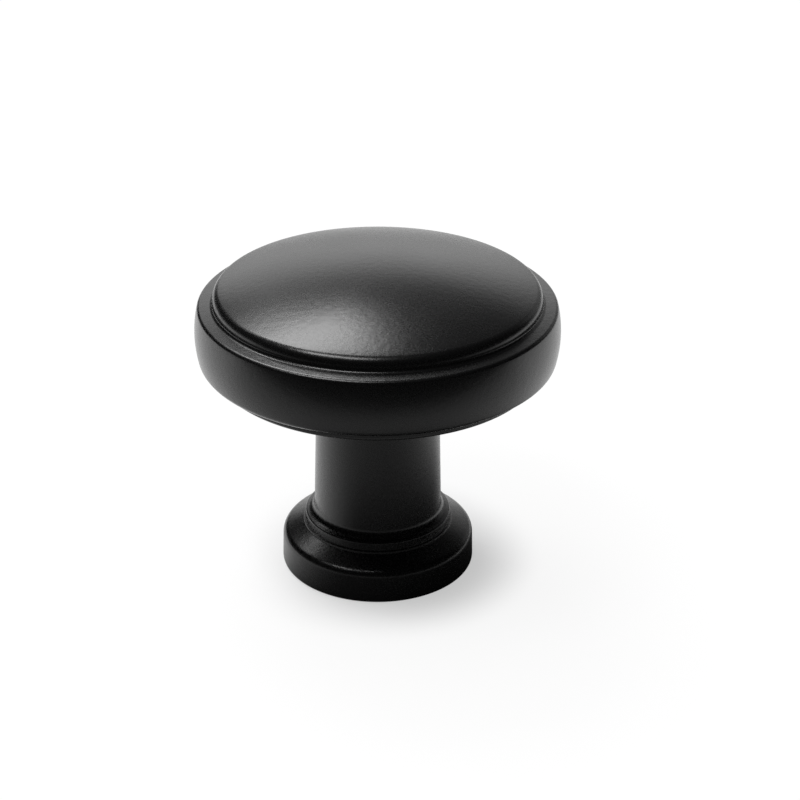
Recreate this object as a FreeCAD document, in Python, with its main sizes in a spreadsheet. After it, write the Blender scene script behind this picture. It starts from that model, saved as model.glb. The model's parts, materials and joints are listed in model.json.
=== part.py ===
"""A round cabinet knob: one turned piece with a tapped hole up its stem.

Millimetres. +Z runs up the stem from the mounting face to the domed top. The origin is the centre of the
mounting face, where the knob meets the drawer or door.
"""

import FreeCAD, Part
import os
from enum import IntEnum

import Sketcher

NODE = "knob"

# Every size that can be set by itself. Insets and chamfers are widths of their own, so the outline keeps its
# character when a diameter changes.
SIZES = [
    ("projection", "31.7", "mounting face to the top of the dome"),
    ("head_diameter", "35.0", "across the belly of the rim"),
    ("dome_rise", "2.4", "height of the dome above its edge"),
    ("dome_step", "1.3", "upright edge between the ledge and the dome"),
    ("ledge_width", "1.55", "ledge round the dome, out to the rim"),
    ("ledge_fall", "0.3", "how far the ledge drops on its way out to the rim"),
    ("rim_height", "5.85", "inner end of the ledge to the lower edge of the rim"),
    ("rim_top_inset", "0.35", "how far the rim draws in at its top"),
    ("rim_foot_inset", "0.43", "how far the rim draws in at its lower edge"),
    ("ring_inset", "1.32", "step from the rim in to the ring under the head"),
    ("ring_depth", "1.05", "how far that ring stands below the rim"),
    ("stem_top_diameter", "11.85", "stem where it meets the head"),
    ("stem_foot_diameter", "12.6", "stem where its foot flares out"),
    ("cove_height", "1.25", "hollow flare at the foot of the stem"),
    ("cove_width", "0.9", "how far that flare reaches out to the collar"),
    ("collar_height", "0.5", "upright edge of the collar"),
    ("bead_width", "0.2", "fine step outside the foot of the collar"),
    ("bead_height", "0.25", "height of that step"),
    ("shoulder_rise", "1.0", "slope from the base's edge up to the fine step"),
    ("base_edge_height", "3.25", "mounting face to the base's corner"),
    ("base_diameter", "19.1", "across the base at the mounting face"),
    ("base_draft", "0.08", "how far the base's edge leans in towards its corner"),
    ("dome_edge_chamfer", "0.35", "set back along each face"),
    ("rim_top_chamfer", "0.2", "set back along each face"),
    ("rim_foot_chamfer", "0.45", "set back along each face"),
    ("ring_chamfer", "0.2", "set back along each face"),
    ("base_corner_chamfer", "0.5", "set back along each face"),
    ("base_foot_chamfer", "0.2", "set back along each face"),
    ("tap_drill_diameter", "3.3", "hole for an M4 thread"),
    ("thread_depth", "12.0", "mounting face to the end of the threaded wall"),
    ("drill_point_angle", "118", "degrees"),
    ("mouth_diameter", "4.4", "countersunk mouth of the hole"),
    ("mouth_angle", "90", "degrees"),
]

# Heights measured up from the mounting face, and down from the top of the dome.
BASE_CORNER = "sizes.base_edge_height"
BEAD_FOOT = BASE_CORNER + " + sizes.shoulder_rise"
BEAD_TOP = BEAD_FOOT + " + sizes.bead_height"
COLLAR_TOP = BEAD_TOP + " + sizes.collar_height"
COVE_TOP = COLLAR_TOP + " + sizes.cove_height"
DOME_EDGE = "sizes.projection - sizes.dome_rise"
LEDGE = DOME_EDGE + " - sizes.dome_step"
RIM_TOP = LEDGE + " - sizes.ledge_fall"
RIM_FOOT = LEDGE + " - sizes.rim_height"
RING_FOOT = RIM_FOOT + " - sizes.ring_depth"
RIM_MIDDLE = LEDGE + " - sizes.rim_height / 2"

# Distances from the axis.
BASE = "sizes.base_diameter / 2"
BASE_TOP = BASE + " - sizes.base_draft"
STEM_FOOT = "sizes.stem_foot_diameter / 2"
COLLAR = STEM_FOOT + " + sizes.cove_width"
BEAD = COLLAR + " + sizes.bead_width"
STEM_TOP = "sizes.stem_top_diameter / 2"
BELLY = "sizes.head_diameter / 2"
RIM_TOP_EDGE = BELLY + " - sizes.rim_top_inset"
RIM_FOOT_EDGE = BELLY + " - sizes.rim_foot_inset"
RING = RIM_FOOT_EDGE + " - sizes.ring_inset"
DOME = RIM_TOP_EDGE + " - sizes.ledge_width"

# The outline's corners from the mounting face up to the dome: how the edge that leads to each one runs,
# its distance from the axis and its height. A level or upright edge takes one of the two from the last.
OUTLINE = [
    ("base foot", "level", BASE, None),
    ("base corner", "sloping", BASE_TOP, BASE_CORNER),
    ("bead foot", "sloping", BEAD, BEAD_FOOT),
    ("bead top", "upright", None, BEAD_TOP),
    ("collar foot", "level", COLLAR, None),
    ("collar top", "upright", None, COLLAR_TOP),
    ("stem foot", "cove", STEM_FOOT, COVE_TOP),
    ("stem top", "sloping", STEM_TOP, RING_FOOT),
    ("ring foot", "level", RING, None),
    ("ring top", "upright", None, RIM_FOOT),
    ("rim foot", "level", RIM_FOOT_EDGE, None),
    ("rim top", "belly", RIM_TOP_EDGE, RIM_TOP),
    ("ledge corner", "sloping", DOME, LEDGE),
    ("dome edge", "upright", None, DOME_EDGE),
    ("dome top", "dome", "0", "sizes.projection"),
]

# Each corner whose sharp edge is taken off, in the order that it is done.
CHAMFERS = [
    ("dome edge", "dome_edge_chamfer"),
    ("rim top", "rim_top_chamfer"),
    ("rim foot", "rim_foot_chamfer"),
    ("ring foot", "ring_chamfer"),
    ("base corner", "base_corner_chamfer"),
    ("base foot", "base_foot_chamfer"),
]

SAME_PLACE = 1e-4


class Axis(IntEnum):
    """How a sketch numbers its own two axes."""

    LEVEL = -1
    UPRIGHT = -2


class Point(IntEnum):
    """How a sketch numbers the points of an edge."""

    START = 1
    END = 2
    CENTRE = 3


ORIGIN_POINT = (Axis.LEVEL, Point.START)


def make_sheet(doc):
    """The driving dimensions, one to a row, each with its name as alias."""
    sheet = doc.addObject("Spreadsheet::Sheet", "sizes")
    for row, (alias, value, meaning) in enumerate(SIZES, start=1):
        sheet.set(f"A{row}", alias)
        sheet.set(f"B{row}", value)
        sheet.set(f"C{row}", meaning)
        sheet.setAlias(f"B{row}", alias)
    doc.recompute()
    return sheet


def origin_plane(body, role):
    """One of the body's own three planes."""
    return next(plane for plane in body.Origin.OriginFeatures if plane.Role == role)


def new_sketch(body, name, role):
    """An empty sketch on one of the body's planes."""
    sketch = body.newObject("Sketcher::SketchObject", name)
    sketch.AttachmentSupport = [(origin_plane(body, role), "")]
    sketch.MapMode = "FlatFace"
    return sketch


def bind(sketch, constraint, expression):
    """Adds a dimension to a sketch and ties it to the sheet."""
    index = sketch.addConstraint(constraint)
    sketch.setExpression(f"Constraints[{index}]", expression)


def corner_places(sheet):
    """Where the outline's corners lie: name to (distance from the axis, height)."""
    places = {}
    across = 0.0
    up = 0.0
    for name, _, radius, height in OUTLINE:
        if radius is not None:
            across = float(sheet.evalExpression(radius))
        if height is not None:
            up = float(sheet.evalExpression(height))
        places[name] = (across, up)
    return places


def arc_through(start, middle, end):
    """A circular arc through three places in the sketch."""
    points = [FreeCAD.Vector(x, y, 0) for x, y in (start, middle, end)]
    return Part.Arc(*points)


def arc_middle(kind, start, end, sheet):
    """Half way along each of the outline's three arcs.

    The belly bulges to the head's full radius half way up the rim. The cove's centre is level with its upper
    end, and the dome's is on the axis; their radius follows from how far the arc goes across and up.
    """
    if kind == "belly":
        return float(sheet.evalExpression(BELLY)), float(sheet.evalExpression(RIM_MIDDLE))
    across = abs(end[0] - start[0])
    up = end[1] - start[1]
    if kind == "cove":
        radius = (across**2 + up**2) / (2 * across)
        centre = FreeCAD.Vector(end[0] + radius, end[1], 0)
    else:
        radius = (across**2 + up**2) / (2 * up)
        centre = FreeCAD.Vector(0, end[1] - radius, 0)
    outwards = FreeCAD.Vector(*start, 0) + FreeCAD.Vector(*end, 0) - centre * 2
    middle = centre + outwards.normalize() * radius
    return middle.x, middle.y


def draw_outline(body, sheet, places):
    """Half of the knob's section, from the axis at the mounting face to the axis at the top of the dome."""
    sketch = new_sketch(body, "outline", "XZ_Plane")
    last = (0.0, 0.0)
    previous = None
    for name, kind, radius, height in OUTLINE:
        here = places[name]
        if kind in ("cove", "belly", "dome"):
            shape = arc_through(last, arc_middle(kind, last, here, sheet), here)
        else:
            shape = Part.LineSegment(FreeCAD.Vector(*last, 0), FreeCAD.Vector(*here, 0))
        edge = sketch.addGeometry(shape, False)
        first, second = edge_ends(sketch, edge, last)
        if previous is None:
            sketch.addConstraint(Sketcher.Constraint("Coincident", edge, first, *ORIGIN_POINT))
        else:
            sketch.addConstraint(Sketcher.Constraint("Coincident", *previous, edge, first))
        if kind == "level":
            sketch.addConstraint(Sketcher.Constraint("Horizontal", edge))
        if kind == "upright":
            sketch.addConstraint(Sketcher.Constraint("Vertical", edge))
        if kind == "dome":
            sketch.addConstraint(Sketcher.Constraint("PointOnObject", edge, second, Axis.UPRIGHT))
            sketch.addConstraint(Sketcher.Constraint("PointOnObject", edge, Point.CENTRE, Axis.UPRIGHT))
        elif radius is not None:
            bind(sketch, Sketcher.Constraint("DistanceX", *ORIGIN_POINT, edge, second, here[0]), radius)
        if height is not None:
            bind(sketch, Sketcher.Constraint("DistanceY", *ORIGIN_POINT, edge, second, here[1]), height)
        if kind == "cove":
            # The flare leaves the stem upright: its centre is level with its upper end.
            sketch.addConstraint(Sketcher.Constraint("Horizontal", edge, second, edge, Point.CENTRE))
        if kind == "belly":
            fix_belly(sketch, edge, sheet)
        previous = (edge, second)
        last = here
    axis = sketch.addGeometry(Part.LineSegment(FreeCAD.Vector(*last, 0), FreeCAD.Vector(0, 0, 0)), False)
    sketch.addConstraint(Sketcher.Constraint("Coincident", *previous, axis, Point.START))
    sketch.addConstraint(Sketcher.Constraint("Coincident", axis, Point.END, *ORIGIN_POINT))
    return sketch


def edge_ends(sketch, edge, start):
    """Which end of an edge lies at the given place, and which is the other: an arc may run either way."""
    first = sketch.getPoint(edge, Point.START)
    if first.distanceToPoint(FreeCAD.Vector(*start, 0)) < SAME_PLACE:
        return Point.START, Point.END
    return Point.END, Point.START


def fix_belly(sketch, edge, sheet):
    """The rim's curve passes through the head's full diameter at half its height."""
    across = float(sheet.evalExpression(BELLY))
    up = float(sheet.evalExpression(RIM_MIDDLE))
    point = sketch.addGeometry(Part.Point(FreeCAD.Vector(across, up, 0)), True)
    sketch.addConstraint(Sketcher.Constraint("PointOnObject", point, Point.START, edge))
    bind(sketch, Sketcher.Constraint("DistanceX", *ORIGIN_POINT, point, Point.START, across), BELLY)
    bind(sketch, Sketcher.Constraint("DistanceY", *ORIGIN_POINT, point, Point.START, up), RIM_MIDDLE)


def turn(doc, body, sketch):
    """The outline turned once round the knob's axis."""
    turned = body.newObject("PartDesign::Revolution", "turning")
    turned.Profile = sketch
    turned.ReferenceAxis = (sketch, ["V_Axis"])
    turned.Angle = 360
    sketch.Visibility = False
    doc.recompute()


def edge_at(shape, place):
    """The turned edge at a distance from the axis and a height."""
    for number, edge in enumerate(shape.Edges, start=1):
        curve = edge.Curve
        if not isinstance(curve, Part.Circle):
            continue
        if abs(curve.Radius - place[0]) < SAME_PLACE and abs(curve.Center.z - place[1]) < SAME_PLACE:
            return f"Edge{number}"
    raise RuntimeError(f"no turned edge at {place}")


def break_edges(doc, body, places):
    """Takes off the sharp edge at each corner of the turning that has a chamfer."""
    for corner, alias in CHAMFERS:
        base = body.Tip
        chamfer = body.newObject("PartDesign::Chamfer", alias)
        chamfer.Base = (base, [edge_at(base.Shape, places[corner])])
        chamfer.setExpression("Size", f"sizes.{alias}")
        doc.recompute()


def drill(doc, body, sheet):
    """The blind screw hole up the axis from the mounting face, with a countersunk mouth and a drilled end."""
    sketch = new_sketch(body, "screw_position", "XY_Plane")
    diameter = float(sheet.evalExpression("sizes.tap_drill_diameter"))
    round_hole = Part.Circle(FreeCAD.Vector(0, 0, 0), FreeCAD.Vector(0, 0, 1), diameter / 2)
    circle = sketch.addGeometry(round_hole, False)
    sketch.addConstraint(Sketcher.Constraint("Coincident", circle, Point.CENTRE, *ORIGIN_POINT))
    bind(sketch, Sketcher.Constraint("Diameter", circle, diameter), "sizes.tap_drill_diameter")
    doc.recompute()
    hole = body.newObject("PartDesign::Hole", "screw_hole")
    hole.Profile = sketch
    doc.recompute()
    hole.Threaded = False
    hole.DepthType = "Dimension"
    hole.DrillPoint = "Angled"
    hole.HoleCutType = "Countersink"
    hole.Reversed = True
    hole.setExpression("Diameter", "sizes.tap_drill_diameter")
    hole.setExpression("Depth", "sizes.thread_depth")
    hole.setExpression("DrillPointAngle", "sizes.drill_point_angle")
    hole.setExpression("HoleCutDiameter", "sizes.mouth_diameter")
    hole.setExpression("HoleCutCountersinkAngle", "sizes.mouth_angle")
    sketch.Visibility = False
    doc.recompute()


def check(doc, body):
    """Stops unless every object is sound and the body is one valid solid."""
    for thing in doc.Objects:
        for mark in thing.State:
            if mark in ("Invalid", "Error"):
                raise RuntimeError(f"{thing.Name} failed: {thing.State}")
    shape = body.Shape
    if shape.isNull() or not shape.isValid() or len(shape.Solids) != 1:
        raise RuntimeError(f"{body.Label} is not one valid solid")


def main():
    """Builds the knob from its sheet of sizes and writes it out."""
    doc = FreeCAD.newDocument("cabinet_knob")
    sheet = make_sheet(doc)
    body = doc.addObject("PartDesign::Body", "knob_body")
    body.Label = NODE
    body.Placement = FreeCAD.Placement()
    places = corner_places(sheet)
    outline = draw_outline(body, sheet, places)
    doc.recompute()
    if not outline.FullyConstrained:
        raise RuntimeError("the outline is not fully constrained")
    turn(doc, body, outline)
    break_edges(doc, body, places)
    solid_volume = body.Shape.Volume
    drill(doc, body, sheet)
    if body.Shape.Volume >= solid_volume:
        raise RuntimeError("the screw hole cut nothing")
    check(doc, body)
    box = body.Shape.optimalBoundingBox(True, False)
    print(f"{NODE}: {box.XLength:.2f} x {box.YLength:.2f} x {box.ZLength:.2f} mm, base at {box.ZMin:.2f},"
          f" {body.Shape.Volume:.1f} mm3, hole {solid_volume - body.Shape.Volume:.1f} mm3")
    os.makedirs("parts", exist_ok=True)
    body.Shape.exportStep(f"parts/{NODE}.step")


main()
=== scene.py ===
"""A round cabinet knob in satin black: one turned surface with the screw thread cut into its base.

Everything is in metres. +Z runs up the stem from the mounting face, where the knob meets the drawer or door,
to the top of its dome.
"""

import json
import math

import bpy
import numpy as np
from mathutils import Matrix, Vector


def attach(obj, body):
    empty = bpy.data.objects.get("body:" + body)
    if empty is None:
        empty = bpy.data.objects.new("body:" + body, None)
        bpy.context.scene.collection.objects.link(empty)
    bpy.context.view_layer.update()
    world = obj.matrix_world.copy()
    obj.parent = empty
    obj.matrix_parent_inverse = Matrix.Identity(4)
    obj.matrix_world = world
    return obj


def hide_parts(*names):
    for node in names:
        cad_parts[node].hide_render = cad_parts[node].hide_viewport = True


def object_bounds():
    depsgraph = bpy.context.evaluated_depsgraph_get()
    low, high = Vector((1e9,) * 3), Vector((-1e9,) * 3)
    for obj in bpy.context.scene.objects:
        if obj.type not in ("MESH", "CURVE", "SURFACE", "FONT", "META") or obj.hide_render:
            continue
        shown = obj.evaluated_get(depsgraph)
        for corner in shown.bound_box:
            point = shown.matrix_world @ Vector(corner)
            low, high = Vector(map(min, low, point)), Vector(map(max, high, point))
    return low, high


bl_info = {
    "name": "Cabinet Knob",
    "version": (1, 0, 0),
    "blender": (4, 5, 0),
    "location": "View3D > Sidebar > Knob",
    "description": "Makes a round, domed cabinet knob with a satin black coat and a tapped screw hole",
    "category": "Add Mesh",
}

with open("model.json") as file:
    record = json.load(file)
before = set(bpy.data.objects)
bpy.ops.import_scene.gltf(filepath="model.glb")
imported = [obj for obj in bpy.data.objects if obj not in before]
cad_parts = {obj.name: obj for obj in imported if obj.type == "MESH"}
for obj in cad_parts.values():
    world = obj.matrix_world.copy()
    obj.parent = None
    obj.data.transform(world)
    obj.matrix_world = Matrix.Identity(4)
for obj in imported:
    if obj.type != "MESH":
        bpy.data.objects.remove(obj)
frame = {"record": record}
CAD_LOW, CAD_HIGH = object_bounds()
MOUNTS = {mount["name"]: mount for mount in frame["record"]["mounts"]}

NODE = "knob"
MM = 0.001

# Places of the outline that are closer than this are one place.
SAME_PLACE = 0.001 * MM

# How far from either end a long straight stretch of the outline gets a place of its own.
SUPPORT = 0.04 * MM

# The flats on the thread's crests and roots as shares of its pitch, and the drill point's angle in degrees.
CREST_FLAT = 0.25
ROOT_FLAT = 0.125
DRILL_POINT = 118

# How far the coat reaches in over the edge of the screw hole's mouth.
COATED_MOUTH = 0.02 * MM

# Soft noise lies mostly between these two values.
NOISE_LOW = 0.3
NOISE_HIGH = 0.7

# Painted shade on the floor as reflections show it. Its brightness falls towards the front, from the gain at the
# knob's axis, by e for each fall, to the least; and from one place to another further in front it falls to a
# share of that.
FLOOR_LEAST = 0.03
FLOOR_GAIN = 0.85
FLOOR_FALL = 45 * MM
FRONT_FROM = -45 * MM
FRONT_TO = -85 * MM
FRONT_SHARE = 0.3

# A painted shadow in it, deepest next to the base and gone further out. It lies round the given way from the
# axis, between these cosines of the angle to that way.
SHADOW_DEPTH = 0.87
SHADOW_FROM = 15 * MM
SHADOW_TO = 45 * MM
SHADOW_WAY = (0.6, -0.8)
SHADOW_COSINES = (-0.6, 0.5)

# The pale wall that reflections show behind the object. Angles are in radians to the right of straight behind:
# where it starts at the left, and two steps of a level and the angles between which it fades at the right.
# Then sines of the angle above level, with the levels between which it changes there.
WALL_LEFT = (-0.44, -0.32)
WALL_RIGHT = ((0.7, 0.12, 0.5), (0.3, 0.7, 1.15))
WALL_LOW = (0.05, 0.25, 0.85, 1.4)
WALL_HIGH = (0.37, 0.56, 1.0, 0.08)

# The stage, in metres and degrees. The lamps aim at a share of the knob's height.
FLOOR_HALF = 1.2
LAMP_DISTANCE = 0.5
LAMP_TARGET = 0.8
SUN_SPREAD = 50

# The camera of the photograph: its lens and sensor in millimetres, how high the place is that it circles, how
# far away and how high it stands, how far to the right of the axis it aims, and how far it leans.
CAMERA_LENS = 92.95
CAMERA_SENSOR = 36
CAMERA_NEAR = 0.01
CAMERA_LEVEL = 17.29 * MM
CAMERA_DISTANCE = 201.3 * MM
CAMERA_ELEVATION = 26.95
CAMERA_ASIDE = 2.16 * MM
CAMERA_LEAN = 0.3


def length(name, description, default):
    """A size in metres that the sidebar shows to a hundredth of a millimetre."""
    return bpy.props.FloatProperty(
        name=name, description=description, default=default, min=0.0, precision=5, unit="LENGTH")


def share(name, description, default, most=1.0):
    """A plain number from 0 up."""
    return bpy.props.FloatProperty(
        name=name, description=description, default=default, min=0.0, max=most, precision=3)


def count(name, description, default):
    """How many rows or columns a stretch of the surface has."""
    return bpy.props.IntProperty(name=name, description=description, default=default, min=2)


def colour(name, description, default):
    """A colour in linear light."""
    return bpy.props.FloatVectorProperty(
        name=name, description=description, default=default, size=3, min=0.0, max=1.0, subtype="COLOR")


class HeadSizes(bpy.types.PropertyGroup):
    """The head: a dome on an upright edge, a ledge round it, the rim and the ring under it."""

    top: length("Top", "Mounting face to the top of the dome", CAD_HIGH.z)
    diameter: length("Diameter", "Across the belly of the rim", CAD_HIGH.x - CAD_LOW.x)
    dome_rise: length("Dome rise", "Height of the dome above its edge", 2.57 * MM)
    dome_step: length("Dome step", "Edge between the ledge and the dome", 1.13 * MM)
    ledge_width: length("Ledge width", "Ledge round the dome, out to the rim", 1.43 * MM)
    ledge_fall: length("Ledge fall", "How far the ledge drops on its way out to the rim", 0.22 * MM)
    rim_height: length("Rim height", "Ledge to the lower edge of the rim", 5.85 * MM)
    rim_top_inset: length("Rim top inset", "How far the rim draws in at its top", 0.35 * MM)
    rim_foot_inset: length("Rim foot inset", "How far the rim draws in at its lower edge", 0.43 * MM)
    ring_inset: length("Ring inset", "Step from the rim in to the ring under the head", 1.32 * MM)
    ring_depth: length("Ring depth", "How far that ring stands below the rim", 1.05 * MM)
    dome_edge_rounding: length("Dome edge rounding", "Radius", 0.95 * MM)
    ledge_corner_rounding: length("Ledge corner rounding", "Radius at the foot of the dome's edge", 0.35 * MM)
    rim_top_rounding: length("Rim top rounding", "Radius", 0.4 * MM)
    rim_foot_rounding: length("Rim foot rounding", "Radius", 0.8 * MM)
    ring_corner_rounding: length("Ring corner rounding", "Radius between the ring and the rim", 0.2 * MM)
    ring_rounding: length("Ring rounding", "Radius of the ring's edge", 0.3 * MM)


class StemSizes(bpy.types.PropertyGroup):
    """The stem, the hollow flare and collar at its foot, and the base."""

    top_diameter: length("Stem top diameter", "Where the stem meets the head", 11.85 * MM)
    foot_diameter: length("Stem foot diameter", "Where its foot flares out", 12.6 * MM)
    top_rounding: length("Stem top rounding", "Radius in the corner under the head", 0.5 * MM)
    cove_height: length("Cove height", "Hollow flare at the foot of the stem", 0.85 * MM)
    cove_width: length("Cove width", "How far that flare reaches out", 0.9 * MM)
    collar_height: length("Collar height", "Upright edge of the collar", 0.9 * MM)
    collar_rounding: length("Collar rounding", "Radius of the collar's edge", 0.2 * MM)
    bead_width: length("Bead width", "Fine step outside the foot of the collar", 0.2 * MM)
    bead_height: length("Bead height", "Height of that step", 0.25 * MM)
    bead_rounding: length("Bead rounding", "Radius of the step's edge and of its corners", 0.1 * MM)
    shoulder_rise: length("Shoulder rise", "Slope from the base's edge up to the fine step", 1.0 * MM)
    base_edge_height: length("Base edge height", "Mounting face to the base's corner", 3.25 * MM)
    base_diameter: length("Base diameter", "Across the base at the mounting face", 19.1 * MM)
    base_draft: length("Base draft", "How far the base's edge leans in", 0.08 * MM)
    base_corner_rounding: length("Base corner rounding", "Radius", 0.9 * MM)
    base_foot_rounding: length("Base foot rounding", "Radius", 0.3 * MM)


class ThreadSizes(bpy.types.PropertyGroup):
    """The M4 screw thread up the axis, with its countersunk mouth and drilled end."""

    crest_radius: length("Crest radius", "Hole that the thread is cut into",
                         MOUNTS["screw_hole"]["dims"]["r_mm"] * MM)
    root_radius: length("Root radius", "Half the screw's diameter", 2.0 * MM)
    pitch: length("Pitch", "Height of one turn", 0.7 * MM)
    depth: length("Depth", "Mounting face to the end of the threaded wall", 12.0 * MM)
    mouth_radius: length("Mouth radius", "Countersunk mouth at the mounting face", 2.2 * MM)
    run_out: length("Run-out", "How far the thread takes to fade out at its deep end", 0.7 * MM)
    rows_per_turn: count("Rows per turn", "Rows of the surface in one turn of the thread", 12)


class CoatLook(bpy.types.PropertyGroup):
    """The satin black coat and the bare metal of the thread."""

    black: colour("Black", "The coat's own colour", (0.003, 0.003, 0.0031))
    roughness: share("Roughness", "How far the coat spreads a reflection", 0.27)
    roughness_spread: share("Roughness spread", "How much that varies over the coat", 0.04)
    peel_size: length("Peel size", "Width of the fine dimples that the sprayed coat dries with", 0.26 * MM)
    peel_depth: length("Peel depth", "Depth of those dimples", 0.005 * MM)
    wave_size: length("Wave size", "Width of the slower waves under the dimples", 0.6 * MM)
    wave_depth: length("Wave depth", "Depth of those waves", 0.01 * MM)
    cloud_size: length("Cloud size", "Width of the faint patches of lighter and darker coat", 7.2 * MM)
    cloud_strength: share("Cloud strength", "How much lighter or darker those patches are", 0.12)
    metal: colour("Bare metal", "The cut thread", (0.46, 0.46, 0.47))
    metal_roughness: share("Metal roughness", "How dull the cut thread is", 0.34)


class StageLook(bpy.types.PropertyGroup):
    """The floor, the lamps and the level of the light round them."""

    floor: colour("Floor", "The floor's own colour", (0.82, 0.82, 0.82))
    floor_white: share("Floor white", "How far the floor is mixed with white next to the base", 0.5)
    white_from: length("White from", "Distance from the axis at which the floor starts to turn white", 9.5 * MM)
    white_at: length("White at", "Distance at which it is all but white", 17 * MM)
    far_white: share("Far white", "How far the floor is mixed with white beyond that", 0.9)
    ambient: share("Ambient", "Level of the soft light from all sides", 0.2)
    sun_strength: share("Sun strength", "Wide soft light that casts the shadow", 1.8, most=100.0)
    key_power: share("Key power", "Soft lamp behind and to the left, in watts", 0.93, most=100.0)
    skirt_power: share("Skirt power", "Dimmer lamp just under that one, in watts", 0.18, most=100.0)
    front_power: share("Front power", "High lamp in front and to the left, in watts", 0.75, most=100.0)
    side_power: share("Side power", "Small lamp high on the left, in watts", 0.3, most=100.0)


class KnobSettings(bpy.types.PropertyGroup):
    """All the settings that the sidebar shows."""

    head: bpy.props.PointerProperty(type=HeadSizes)
    stem: bpy.props.PointerProperty(type=StemSizes)
    thread: bpy.props.PointerProperty(type=ThreadSizes)
    coat: bpy.props.PointerProperty(type=CoatLook)
    stage: bpy.props.PointerProperty(type=StageLook)
    columns: count("Columns", "Columns of the turned surface in one turn", 240)


def at(across, up):
    """A place in the knob's half section: its distance from the axis and its height."""
    return np.array([across, up], float)


def circle_through(first, middle, last):
    """Centre and radius of the circle through three places.

    The centre is where the perpendiculars through the middles of both chords cross, which is one pair of
    linear equations.
    """
    chords = np.array([middle - first, last - middle])
    middles = np.array([first + middle, middle + last]) / 2
    centre = np.linalg.solve(chords, (chords * middles).sum(axis=1))
    return centre, np.linalg.norm(first - centre)


def arc(centre, start, end, rows):
    """Places along a circle from start to end, the short way round, by equal angles.

    Each is the centre plus the radius along the cosine and sine of an angle that runs evenly between the
    two ends' angles.
    """
    first, last = start - centre, end - centre
    radius = np.linalg.norm(first)
    angle = math.atan2(first[1], first[0])
    sweep = math.atan2(last[1], last[0]) - angle
    sweep = (sweep + math.pi) % (2 * math.pi) - math.pi
    angles = angle + sweep * np.linspace(0, 1, rows)
    return centre + radius * np.stack([np.cos(angles), np.sin(angles)], axis=1)


def rounded(before, corner, after, radius, rows):
    """A corner between two straight runs, as an arc that touches both.

    The arc's ends lie radius / tan(half the corner's angle) from the corner, and its centre lies
    radius / sin(half the angle) from it, on the line that halves the angle.
    """
    back = (before - corner) / np.linalg.norm(before - corner)
    on = (after - corner) / np.linalg.norm(after - corner)
    half = math.acos(float(back @ on)) / 2
    reach = radius / math.tan(half)
    inwards = (back + on) / np.linalg.norm(back + on)
    centre = corner + inwards * radius / math.sin(half)
    return arc(centre, corner + back * reach, corner + on * reach, rows)


def leaving(start, way, centre, reach):
    """Where a line from a place along a unit way leaves a circle.

    The step along the way is the larger root of |start + step * way - centre| = reach.
    """
    offset = start - centre
    half = float(offset @ way)
    return start + way * (math.sqrt(half**2 - float(offset @ offset) + reach**2) - half)


def touching(centre, radius, other):
    """Where a circle is touched by another whose centre is given, from inside or outside."""
    outwards = other - centre
    return centre + outwards * radius / np.linalg.norm(outwards)


def underside(head):
    """The height of the ring's foot, the lowest part of the head, where the stem starts."""
    return head.top - head.dome_rise - head.dome_step - head.rim_height - head.ring_depth


def head_outline(head, stem_corner):
    """The head from the top of the dome round to the corner where the stem meets it, as a list of runs.

    The dome is a circle about a centre on the axis, and the rim's belly a circle through its two edges and
    the head's full radius. Each rounding on them is a smaller circle that touches the large one from inside,
    so its centre lies on a circle of the large radius less its own.
    """
    edge = head.top - head.dome_rise
    ledge = edge - head.dome_step
    rim_foot = ledge - head.rim_height
    belly = head.diameter / 2
    rim_top_across = belly - head.rim_top_inset
    rim_foot_across = belly - head.rim_foot_inset
    dome_across = rim_top_across - head.ledge_width
    ring_across = rim_foot_across - head.ring_inset

    dome_radius = (dome_across**2 + head.dome_rise**2) / (2 * head.dome_rise)
    dome_centre = at(0, head.top - dome_radius)
    fillet = head.dome_edge_rounding
    edge_centre = leaving(at(dome_across - fillet, dome_centre[1]), at(0, 1), dome_centre, dome_radius - fillet)
    edge_start = touching(dome_centre, dome_radius, edge_centre)
    edge_end = edge_centre + at(fillet, 0)

    ledge_corner = at(dome_across, ledge)
    rim_corner = at(rim_top_across, ledge - head.ledge_fall)
    belly_centre, belly_radius = circle_through(
        rim_corner, at(belly, ledge - head.rim_height / 2), at(rim_foot_across, rim_foot))
    fillet = head.rim_top_rounding
    outwards = (rim_corner - ledge_corner) / np.linalg.norm(rim_corner - ledge_corner)
    upwards = at(-outwards[1], outwards[0])
    top_centre = leaving(ledge_corner - upwards * fillet, outwards, belly_centre, belly_radius - fillet)
    top_start = top_centre + upwards * fillet
    top_end = touching(belly_centre, belly_radius, top_centre)
    fillet = head.rim_foot_rounding
    foot_centre = leaving(at(0, rim_foot + fillet), at(1, 0), belly_centre, belly_radius - fillet)
    foot_start = touching(belly_centre, belly_radius, foot_centre)
    foot_end = foot_centre - at(0, fillet)

    ring_corner = at(ring_across, rim_foot)
    ring_edge = at(ring_across, underside(head))
    return [
        arc(dome_centre, at(0, head.top), edge_start, rows=30),
        arc(edge_centre, edge_start, edge_end, rows=15),
        rounded(edge_end, ledge_corner, top_start, head.ledge_corner_rounding, rows=7),
        arc(top_centre, top_start, top_end, rows=11),
        arc(belly_centre, top_end, foot_start, rows=14),
        arc(foot_centre, foot_start, foot_end, rows=11),
        rounded(foot_end, ring_corner, ring_edge, head.ring_corner_rounding, rows=5),
        rounded(ring_corner, ring_edge, stem_corner, head.ring_rounding, rows=7),
    ]


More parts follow.
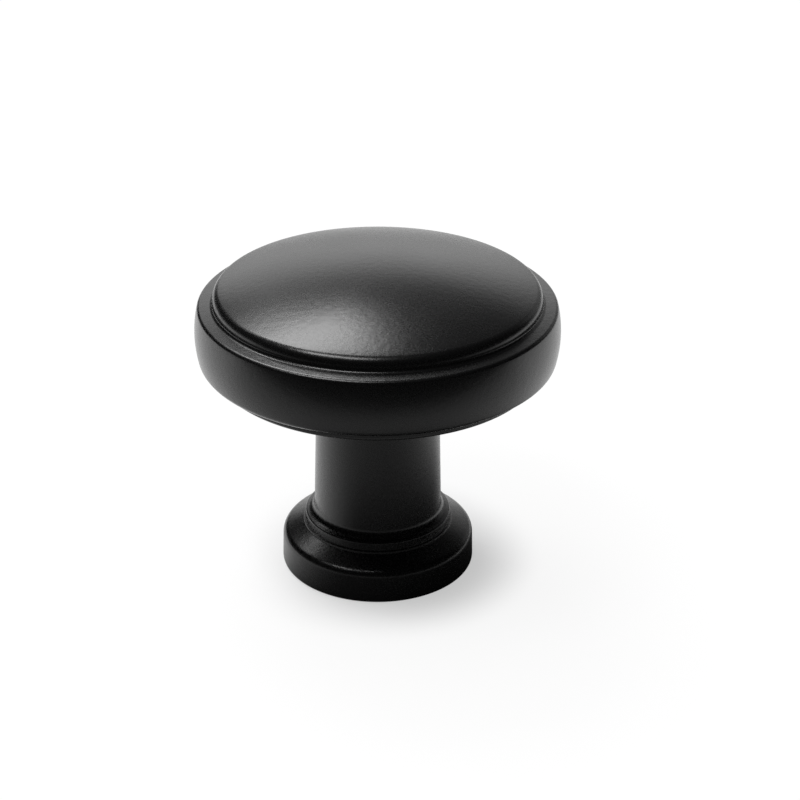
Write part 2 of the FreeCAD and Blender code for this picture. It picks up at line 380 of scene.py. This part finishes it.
def stem_outline(head, stem, thread):
    """The stem from the corner under the head down to the mouth of the screw hole, as a list of runs.

    All its edges are straight but the cove, a circle whose centre is level with the foot of the stem, so
    that the flare leaves the stem upright. The collar's rounding touches that circle from outside, so its
    centre lies on a circle of both radii together.
    """
    bead_foot = stem.base_edge_height + stem.shoulder_rise
    bead_top = bead_foot + stem.bead_height
    collar_top = bead_top + stem.collar_height
    collar_across = stem.foot_diameter / 2 + stem.cove_width
    bead_across = collar_across + stem.bead_width
    base_across = stem.base_diameter / 2

    ring = at(head.diameter / 2 - head.rim_foot_inset - head.ring_inset, underside(head))
    top = at(stem.top_diameter / 2, underside(head))
    foot = at(stem.foot_diameter / 2, collar_top + stem.cove_height)
    collar = at(collar_across, collar_top)
    collar_corner = at(collar_across, bead_top)
    bead = at(bead_across, bead_top)
    bead_corner = at(bead_across, bead_foot)
    base_corner = at(base_across - stem.base_draft, stem.base_edge_height)
    base_foot = at(base_across, 0)
    mouth = at(thread.mouth_radius, 0)

    cove_radius = (stem.cove_width**2 + stem.cove_height**2) / (2 * stem.cove_width)
    cove_centre = foot + at(cove_radius, 0)
    fillet = stem.collar_rounding
    lip_centre = leaving(at(collar_across - fillet, foot[1]), at(0, -1), cove_centre, cove_radius + fillet)
    cove_end = touching(cove_centre, cove_radius, lip_centre)
    fine = stem.bead_rounding
    return [
        rounded(ring, top, foot, stem.top_rounding, rows=8),
        arc(cove_centre, foot, cove_end, rows=12),
        arc(lip_centre, cove_end, lip_centre + at(fillet, 0), rows=9),
        rounded(collar, collar_corner, bead, fine / 2, rows=4),
        rounded(collar_corner, bead, bead_corner, fine, rows=5),
        rounded(bead, bead_corner, base_corner, fine / 2, rows=4),
        rounded(bead_corner, base_corner, base_foot, stem.base_corner_rounding, rows=10),
        rounded(base_corner, base_foot, mouth, stem.base_foot_rounding, rows=7),
    ]


def joined(runs):
    """One line of places through all the runs, from each to the next by a straight stretch.

    A stretch longer than three times the support distance gets a place at its middle and one that distance
    from either end, so that smooth shading stays flat between the roundings.
    """
    line = [runs[0]]
    for run in runs[1:]:
        start, end = line[-1][-1], run[0]
        way = end - start
        reach = np.linalg.norm(way)
        if reach > 3 * SUPPORT:
            step = way * SUPPORT / reach
            line.append(np.array([start + step, (start + end) / 2, end - step]))
        line.append(run if reach > SAME_PLACE else run[1:])
    return np.vstack(line)


def thread_wave(turns):
    """How deep the thread is cut at a number of turns: 0 at its crest and 1 at its root.

    It is a wave of straight flanks, and the flats on its crests and roots are shares of a turn.
    """
    away_from_root = np.abs((turns + 0.5) % 1.0 - 0.5)
    crest = 0.5 - CREST_FLAT / 2
    root = ROOT_FLAT / 2
    return np.clip((crest - away_from_root) / (crest - root), 0, 1)


def knob_grid(settings):
    """The whole surface as rows of columns, each a distance from the axis, an angle and a height.

    A row is one place of the outline, from the top of the dome round the outside to the mouth of the screw
    hole, up its threaded wall and in to the drilled point. A column is one angle. On the threaded wall the
    distance from the axis swells by the thread's wave, whose turns are the height over the pitch less the
    share of a whole turn, so the thread is right-handed.
    """
    head, stem, thread = settings.head, settings.stem, settings.thread
    stem_corner = at(stem.top_diameter / 2, underside(head))
    outside = joined(head_outline(head, stem_corner) + stem_outline(head, stem, thread))

    wall_foot = thread.mouth_radius - thread.crest_radius
    turns = (thread.depth - wall_foot) / thread.pitch
    heights = np.linspace(wall_foot, thread.depth, round(turns * thread.rows_per_turn) + 1)
    wall = np.stack([np.full_like(heights, thread.crest_radius), heights], axis=1)
    chamfer = np.linspace(at(thread.mouth_radius, 0), wall[0], 6)[:-1]
    point = at(0, thread.depth + thread.crest_radius / math.tan(math.radians(DRILL_POINT / 2)))
    end = np.linspace(wall[-1], point, 8)[1:]
    places = np.vstack([outside, chamfer, wall, end])

    angles = np.linspace(0, 2 * math.pi, settings.columns, endpoint=False)
    across = np.repeat(places[:, :1], settings.columns, axis=1)
    up = np.repeat(places[:, 1:], settings.columns, axis=1)
    cut = (thread.root_radius - thread.crest_radius) * thread_wave(up / thread.pitch - angles / (2 * math.pi))
    fade = np.clip((thread.depth - up) / thread.run_out, 0, 1)
    threaded = slice(len(outside), len(places) - len(end))
    across[threaded] = np.maximum(across, thread.crest_radius + cut * fade)[threaded]
    return across, angles, up


def surface_from(name, across, angles, up):
    """A closed mesh from a grid of rows and columns whose first and last rows are each one point.

    Each place is its distance from the axis along the cosine and sine of its column's angle, at its height.
    Between two rows the faces have four corners, and next to either pole three.
    """
    rows, columns = across.shape
    places = np.stack([across * np.cos(angles), across * np.sin(angles), up], axis=2)
    vertices = np.vstack([places[0, :1], places[1:-1].reshape(-1, 3), places[-1, :1]])
    inner = rows - 2
    number = 1 + np.arange(inner * columns).reshape(inner, columns)
    turned = np.roll(number, -1, axis=1)
    quads = np.stack([number[:-1], number[1:], turned[1:], turned[:-1]], axis=2).reshape(-1, 4)
    first_pole = np.zeros(columns, int)
    last_pole = np.full(columns, len(vertices) - 1)
    cap = np.stack([first_pole, number[0], turned[0]], axis=1)
    tip = np.stack([number[-1], last_pole, turned[-1]], axis=1)

    corners = np.concatenate([cap.ravel(), tip.ravel(), quads.ravel()])
    sizes = np.concatenate([np.full(2 * columns, 3), np.full(len(quads), 4)])
    starts = np.concatenate([[0], np.cumsum(sizes)[:-1]])
    mesh = bpy.data.meshes.new(name)
    mesh.vertices.add(len(vertices))
    mesh.vertices.foreach_set("co", vertices.astype(np.float32).ravel())
    mesh.loops.add(len(corners))
    mesh.loops.foreach_set("vertex_index", corners.astype(np.int32))
    mesh.polygons.add(len(sizes))
    mesh.polygons.foreach_set("loop_start", starts.astype(np.int32))
    mesh.polygons.foreach_set("use_smooth", np.ones(len(sizes), bool))
    mesh.update(calc_edges=True)
    if mesh.validate():
        raise RuntimeError(f"{name} has faulty faces")
    return mesh


class Nodes:
    """A material's or the world's node tree, with short ways to add to it."""

    def __init__(self, tree):
        self.tree = tree
        tree.nodes.clear()

    def add(self, kind, inputs=None, **settings):
        """A node with its settings, and its inputs given as values or as other nodes' outputs."""
        node = self.tree.nodes.new(kind)
        for name, value in settings.items():
            setattr(node, name, value)
        for name, value in (inputs or {}).items():
            if isinstance(value, bpy.types.NodeSocket):
                self.tree.links.new(value, node.inputs[name])
            else:
                node.inputs[name].default_value = value
        return node

    def math(self, operation, *values):
        """One sum on numbers or sockets, and its result."""
        return self.add("ShaderNodeMath", dict(enumerate(values)), operation=operation).outputs[0]

    def mix(self, kind, factor, first, second):
        """From one number or colour to another as the factor goes from 0 to 1."""
        mixed = self.add("ShaderNodeMix", {"Factor": factor, "A": first, "B": second}, data_type=kind)
        return mixed.outputs["Result"]

    def ramp(self, value, low, high, to_low=0.0, to_high=1.0):
        """A smooth change from one number to another as a value goes from low to high."""
        spread = self.add("ShaderNodeMapRange", {
            "Value": value, "From Min": low, "From Max": high, "To Min": to_low, "To Max": to_high,
        }, interpolation_type="SMOOTHSTEP")
        return spread.outputs["Result"]

    def noise(self, place, size, detail=2.0, roughness=0.5):
        """Soft noise whose lumps are about as wide as the given size."""
        made = self.add("ShaderNodeTexNoise", {
            "Vector": place, "Scale": 1.0 / size, "Detail": detail, "Roughness": roughness,
        })
        return made.outputs["Fac"]


def coat_material(look, thread):
    """Satin black coat with fine dimples, and bare cut metal inside the screw hole."""
    material = bpy.data.materials.new("satin_black_coat")
    material.use_nodes = True
    nodes = Nodes(material.node_tree)
    place = nodes.add("ShaderNodeTexCoord").outputs["Object"]

    peel = nodes.noise(place, look.peel_size, detail=2.5, roughness=0.55)
    wave = nodes.noise(place, look.wave_size, detail=1.0)
    cloud = nodes.noise(place, look.cloud_size)

    # Bare metal shows inside the mouth's edge, and no higher than a little past the drilled point.
    parts = nodes.add("ShaderNodeSeparateXYZ", {"Vector": place})
    from_axis = nodes.math("SQRT", nodes.math(
        "ADD", nodes.math("POWER", parts.outputs["X"], 2.0), nodes.math("POWER", parts.outputs["Y"], 2.0)))
    bare = nodes.math(
        "MULTIPLY",
        nodes.math("LESS_THAN", from_axis, thread.mouth_radius - COATED_MOUTH),
        nodes.math("LESS_THAN", parts.outputs["Z"], thread.depth + 2 * thread.crest_radius))

    darker = (*((1 - look.cloud_strength) * part for part in look.black), 1.0)
    lighter = (*((1 + look.cloud_strength) * part for part in look.black), 1.0)
    tint = nodes.mix("RGBA", bare, nodes.mix("RGBA", cloud, darker, lighter), (*look.metal, 1.0))
    mottle = nodes.math("MULTIPLY_ADD", peel, 0.5, nodes.math("MULTIPLY", cloud, 0.5))
    spread = look.roughness_spread / 2
    dullness = nodes.ramp(mottle, NOISE_LOW, NOISE_HIGH, look.roughness - spread, look.roughness + spread)
    dullness = nodes.mix("FLOAT", bare, dullness, look.metal_roughness)

    waves = nodes.add("ShaderNodeBump", {"Height": wave, "Distance": look.wave_depth, "Strength": 1.0})
    dimples = nodes.add("ShaderNodeBump", {
        "Height": peel, "Distance": look.peel_depth, "Strength": 1.0, "Normal": waves.outputs["Normal"],
    })
    shader = nodes.add("ShaderNodeBsdfPrincipled", {
        "Base Color": tint, "Metallic": bare, "Roughness": dullness,
        "Normal": dimples.outputs["Normal"],
    })
    nodes.add("ShaderNodeOutputMaterial", {"Surface": shader.outputs["BSDF"]})
    return material


def seen_ray(nodes):
    """Whether a ray comes straight from the camera, and whether it is a reflection or passes through."""
    path = nodes.add("ShaderNodeLightPath")
    mirrored = nodes.math("MAXIMUM", path.outputs["Is Glossy Ray"], path.outputs["Is Transmission Ray"])
    return path.outputs["Is Camera Ray"], mirrored


def floor_material(look):
    """A pale floor that keeps its shadows.

    Reflections show it with painted shade, dimmer towards the front as a table looks that is lit from behind,
    and with a painted shadow close to the base on its front right. The camera sees it turn white away from the
    base.
    """
    material = bpy.data.materials.new("pale_floor")
    material.use_nodes = True
    nodes = Nodes(material.node_tree)
    place = nodes.add("ShaderNodeTexCoord").outputs["Object"]
    parts = nodes.add("ShaderNodeSeparateXYZ", {"Vector": place})
    direct, mirrored = seen_ray(nodes)
    # Painted shade: reflections see the floor dimmer towards the front.
    fall = nodes.math("EXPONENT", nodes.math("DIVIDE", parts.outputs["Y"], FLOOR_FALL))
    fading = nodes.math("MINIMUM", nodes.math("MULTIPLY_ADD", fall, FLOOR_GAIN, FLOOR_LEAST), 1.0)
    far = nodes.ramp(parts.outputs["Y"], FRONT_TO, FRONT_FROM, FRONT_SHARE, 1.0)

    distance = nodes.add("ShaderNodeVectorMath", {"Vector": place}, operation="LENGTH").outputs["Value"]
    # Painted shadow of the knob in the floor's reflections: darkest next to the base on its front right, gone
    # further out.
    onwards = nodes.math("ADD", nodes.math("MULTIPLY", parts.outputs["X"], SHADOW_WAY[0]),
                         nodes.math("MULTIPLY", parts.outputs["Y"], SHADOW_WAY[1]))
    shaded = nodes.math("MULTIPLY", nodes.ramp(distance, SHADOW_FROM, SHADOW_TO, SHADOW_DEPTH, 0.0),
                        nodes.ramp(nodes.math("DIVIDE", onwards, distance), *SHADOW_COSINES))
    lit = nodes.math("MULTIPLY", nodes.math("MULTIPLY", fading, far), nodes.math("SUBTRACT", 1.0, shaded))
    # Reflections get the painted shade and shadow by mixing the floor towards black.
    dimming = nodes.math("MULTIPLY", mirrored, nodes.math("SUBTRACT", 1.0, lit))
    matt = nodes.add("ShaderNodeBsdfDiffuse", {"Color": (*look.floor, 1.0)})
    white = nodes.add("ShaderNodeEmission", {"Color": (1.0, 1.0, 1.0, 1.0), "Strength": 1.0})
    whitening = nodes.math("MULTIPLY", direct, nodes.ramp(
        distance, look.white_from, look.white_at, look.floor_white, look.far_white))
    pale = nodes.add("ShaderNodeMixShader", {0: whitening, 1: matt.outputs[0], 2: white.outputs[0]})
    dark = nodes.add("ShaderNodeBsdfDiffuse", {"Color": (0.0, 0.0, 0.0, 1.0)})
    both = nodes.add("ShaderNodeMixShader", {0: dimming, 1: pale.outputs[0], 2: dark.outputs[0]})
    nodes.add("ShaderNodeOutputMaterial", {"Surface": both.outputs[0]})
    return material


def light_world(look):
    """White behind the object, an even grey that lights it, and a pale wall behind it in its reflections."""
    world = bpy.data.worlds.new("studio")
    world.use_nodes = True
    nodes = Nodes(world.node_tree)
    way = nodes.add("ShaderNodeSeparateXYZ", {
        "Vector": nodes.add("ShaderNodeTexCoord").outputs["Generated"]})
    direct, mirrored = seen_ray(nodes)
    turn = nodes.math("ARCTAN2", way.outputs["X"], way.outputs["Y"])
    left = nodes.ramp(turn, *WALL_LEFT)
    right = nodes.math("ADD", *(nodes.ramp(turn, start, end, level, 0.0) for level, start, end in WALL_RIGHT))
    low = nodes.ramp(way.outputs["Z"], *WALL_LOW)
    high = nodes.ramp(way.outputs["Z"], *WALL_HIGH)
    wall = nodes.math("MULTIPLY", nodes.math("MULTIPLY", left, right), nodes.math("MULTIPLY", low, high))
    level = nodes.mix("FLOAT", direct, nodes.mix("FLOAT", mirrored, look.ambient, wall), 1.0)
    background = nodes.add("ShaderNodeBackground", {"Color": (1.0, 1.0, 1.0, 1.0), "Strength": level})
    nodes.add("ShaderNodeOutputWorld", {"Surface": background.outputs[0]})
    bpy.context.scene.world = world


def direction(azimuth, elevation):
    """A unit vector, by degrees to the right of straight behind the object and degrees above level."""
    a, e = math.radians(azimuth), math.radians(elevation)
    return Vector((math.sin(a) * math.cos(e), math.cos(a) * math.cos(e), math.sin(e)))


def linked(name, data):
    """An object of that data in the scene."""
    made = bpy.data.objects.new(name, data)
    bpy.context.scene.collection.objects.link(made)
    return made


def aimed(made, place, target):
    """Puts a lamp or camera at a place and turns it to look at a target, with its top upwards."""
    made.location = place
    made.rotation_euler = (target - place).to_track_quat("-Z", "Y").to_euler()


def soft_lamp(name, target, azimuth, elevation, width, height, power):
    """A rectangle of soft light that faces the target."""
    data = bpy.data.lights.new(name, "AREA")
    data.shape = "RECTANGLE"
    data.size = width
    data.size_y = height
    data.energy = power
    aimed(linked(name, data), target + direction(azimuth, elevation) * LAMP_DISTANCE, target)


class KNOB_OT_turned_body(bpy.types.Operator):
    """Make the knob: its turned outside, the screw thread and the coat"""

    bl_idname = "knob.turned_body"
    bl_label = "Turned Body"
    bl_options = {"REGISTER", "UNDO"}

    def execute(self, context):
        settings = context.scene.knob_settings
        mesh = surface_from("turned_knob", *knob_grid(settings))
        mesh.materials.append(coat_material(settings.coat, settings.thread))
        body = linked("turned_knob", mesh)
        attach(body, "root")
        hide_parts(NODE)
        return {"FINISHED"}


class KNOB_OT_stage(bpy.types.Operator):
    """Set the pale floor, the white surroundings, the soft lamps and the camera"""

    bl_idname = "knob.stage"
    bl_label = "Stage"
    bl_options = {"REGISTER", "UNDO"}

    def execute(self, context):
        look = context.scene.knob_settings.stage
        low, high = -FLOOR_HALF, FLOOR_HALF
        mesh = bpy.data.meshes.new("floor")
        mesh.from_pydata([(low, low, 0), (high, low, 0), (high, high, 0), (low, high, 0)], [], [(0, 1, 2, 3)])
        mesh.materials.append(floor_material(look))
        linked("floor", mesh)
        light_world(look)

        centre = Vector((0, 0, CAD_HIGH.z * LAMP_TARGET))
        soft_lamp("key", centre, azimuth=-24.5, elevation=55.3, width=0.22, height=0.15, power=look.key_power)
        soft_lamp("key_skirt", centre, azimuth=-38, elevation=44, width=0.26, height=0.09, power=look.skirt_power)
        soft_lamp("front", centre, azimuth=-130, elevation=70, width=0.26, height=0.09, power=look.front_power)
        soft_lamp("side", centre, azimuth=-113, elevation=61, width=0.16, height=0.065, power=look.side_power)
        sun = linked("sun", bpy.data.lights.new("sun", "SUN"))
        sun.data.energy = look.sun_strength
        sun.data.angle = math.radians(SUN_SPREAD)
        sun.visible_glossy = False
        aimed(sun, centre + direction(azimuth=-50, elevation=70), centre)

        data = bpy.data.cameras.new("camera")
        data.lens = CAMERA_LENS
        data.sensor_width = CAMERA_SENSOR
        data.clip_start = CAMERA_NEAR
        camera = linked("camera", data)
        middle = Vector((0, 0, CAMERA_LEVEL))
        place = middle + direction(azimuth=180, elevation=CAMERA_ELEVATION) * CAMERA_DISTANCE
        aimed(camera, place, middle + Vector((CAMERA_ASIDE, 0, 0)))
        camera.rotation_euler.rotate_axis("Z", math.radians(CAMERA_LEAN))
        context.scene.camera = camera
        context.scene.view_settings.view_transform = "Standard"
        return {"FINISHED"}


class KNOB_PT_sidebar(bpy.types.Panel):
    """The knob's settings and the steps that make it"""

    bl_idname = "KNOB_PT_sidebar"
    bl_label = "Cabinet Knob"
    bl_space_type = "VIEW_3D"
    bl_region_type = "UI"
    bl_category = "Knob"

    def draw(self, context):
        settings = context.scene.knob_settings
        layout = self.layout
        for name in ("head", "stem", "thread", "coat", "stage"):
            group = getattr(settings, name)
            box = layout.box()
            box.label(text=name.capitalize())
            for key in group.bl_rna.properties.keys():
                if key not in ("rna_type", "name"):
                    box.prop(group, key)
        layout.prop(settings, "columns")
        for operator in OPERATORS:
            layout.operator(operator.bl_idname)


GROUPS = (HeadSizes, StemSizes, ThreadSizes, CoatLook, StageLook, KnobSettings)
OPERATORS = (KNOB_OT_turned_body, KNOB_OT_stage)


def register():
    for made in (*GROUPS, *OPERATORS, KNOB_PT_sidebar):
        bpy.utils.register_class(made)
    bpy.types.Scene.knob_settings = bpy.props.PointerProperty(type=KnobSettings)


def unregister():
    del bpy.types.Scene.knob_settings
    for made in (KNOB_PT_sidebar, *reversed(OPERATORS), *reversed(GROUPS)):
        bpy.utils.unregister_class(made)


def main():
    """Makes the knob and its stage."""
    register()
    bpy.ops.knob.turned_body()
    bpy.ops.knob.stage()


if __name__ == "__main__":
    main()
